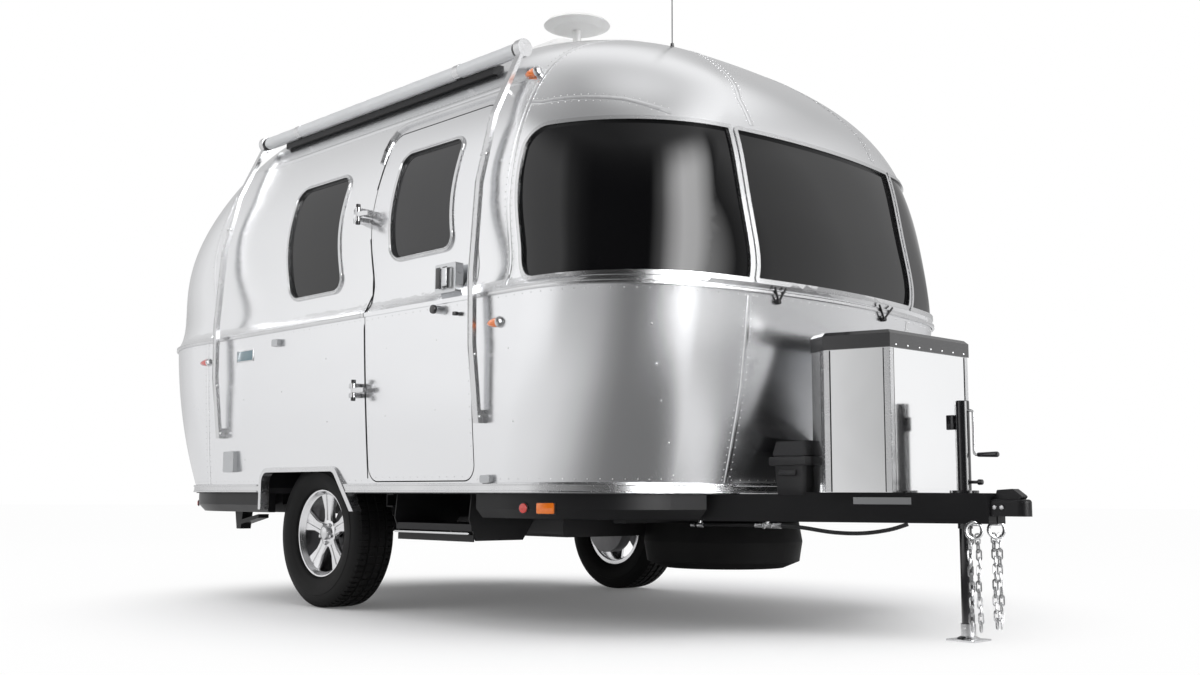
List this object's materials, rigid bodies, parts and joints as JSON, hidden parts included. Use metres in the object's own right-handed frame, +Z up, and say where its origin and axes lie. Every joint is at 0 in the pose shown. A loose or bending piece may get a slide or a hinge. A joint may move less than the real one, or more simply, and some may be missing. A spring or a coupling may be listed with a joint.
{
  "type": "travel caravan",
  "caption": "Riveted aluminium single-axle travel caravan with rounded ends, side door, wrap-around front windows, folded awning and A-frame tongue with jack and gas box.",
  "frame": {"origin": "on the ground, under the middle of the overall box", "axes": "+X to the coupler at the front, +Y to the caravan's left, +Z up"},
  "size_m": [4.978, 2.4667, 2.91],
  "materials": {
    "skin_aluminium": "satin polished sheet with rivets",
    "trim_aluminium": "bright extrusion",
    "brushed_plate": "brushed",
    "tinted_glass": "dark tinted, polished",
    "floor_board": "black composite board",
    "black_metal": "satin black paint",
    "black_lid": "gloss black paint",
    "polished_box": "polished sheet",
    "white_paint": "gloss white paint",
    "zinc_steel": "bright zinc plate",
    "black_plastic": "moulded, fine grain",
    "grey_plastic": "smooth moulded",
    "white_plastic": "smooth moulded",
    "tyre_rubber": "black rubber",
    "wheel_alloy": "machined and clear coated",
    "awning_grey": "rolled silver-grey awning cloth",
    "amber_lens": "clear amber lens",
    "red_lens": "clear red lens"
  },
  "bodies": {
    "caravan": {"air_conditioner": "white_plastic", "amber_lamps": "amber_lens", "arch_lips": "trim_aluminium", "awning_arms": "trim_aluminium", "awning_rail": "trim_aluminium", "awning_roller": "awning_grey", "axle_arms": "black_metal", "axle_beam": "black_metal", "base_trim": "trim_aluminium", "battery_box": "black_plastic", "belt_trim": "trim_aluminium", "chassis_frame": "black_metal", "coupler": "black_metal", "disc_antenna": "white_plastic", "entry_step": "black_metal", "floor": "floor_board", "gas_bottles": "white_paint", "gas_box": "polished_box", "hinge_wall_leaves": "trim_aluminium", "jack_crank": "black_metal", "jack_tube": "black_metal", "lower_front": "skin_aluminium", "lower_rear": "skin_aluminium", "lower_wall_left": "skin_aluminium", "lower_wall_right": "skin_aluminium", "radio_whip": "black_metal", "rear_steadies": "black_metal", "red_lamps": "red_lens", "roof": "skin_aluminium", "roof_vent": "white_plastic", "skirt_front": "black_metal", "skirt_rear": "black_metal", "spare_carrier": "black_metal", "spare_wheel": "tyre_rubber", "tongue_frame": "black_metal", "upper_front": "skin_aluminium", "upper_rear": "skin_aluminium", "upper_wall_left": "skin_aluminium", "upper_wall_right": "skin_aluminium", "wall_covers": "grey_plastic", "water_tank": "black_plastic", "wheel_boxes": "black_metal", "window_frames": "trim_aluminium", "window_glass": "tinted_glass"},
    "wheel_right_body": {"wheel_right": "wheel_alloy", "tyre_right": "tyre_rubber"},
    "wheel_left_body": {"wheel_left": "wheel_alloy", "tyre_left": "tyre_rubber"},
    "door": {"door_panel": "skin_aluminium", "door_window_frame": "trim_aluminium", "door_glass": "tinted_glass", "hinge_door_leaves": "trim_aluminium", "door_lock": "brushed_plate"},
    "gas_lid": {"gas_box_lid": "black_lid"},
    "jack_foot": {"jack_leg": "zinc_steel"}
  },
  "joints": [
    {"name": "wheel_right_spin", "type": "hinge", "parent": "caravan", "child": "wheel_right_body", "pos_m": [-0.5715, -0.969, 0.3473], "axis": [0, 1, 0], "continuous": true},
    {"name": "wheel_left_spin", "type": "hinge", "parent": "caravan", "child": "wheel_left_body", "pos_m": [-0.5715, 0.969, 0.3473], "axis": [0, 1, 0], "continuous": true},
    {"name": "door_hinge", "type": "hinge", "parent": "caravan", "child": "door", "pos_m": [-0.048, -1.236, 1.25], "axis": [0, 0, -1], "range_deg": [0, 110]},
    {"name": "gas_lid_hinge", "type": "hinge", "parent": "caravan", "child": "gas_lid", "pos_m": [1.738, 0, 1.087], "axis": [0, -1, 0], "range_deg": [0, 75]},
    {"name": "jack_slide", "type": "slide", "parent": "caravan", "child": "jack_foot", "axis": [0, 0, 1], "range_m": [0, 0.28]}
  ]
}
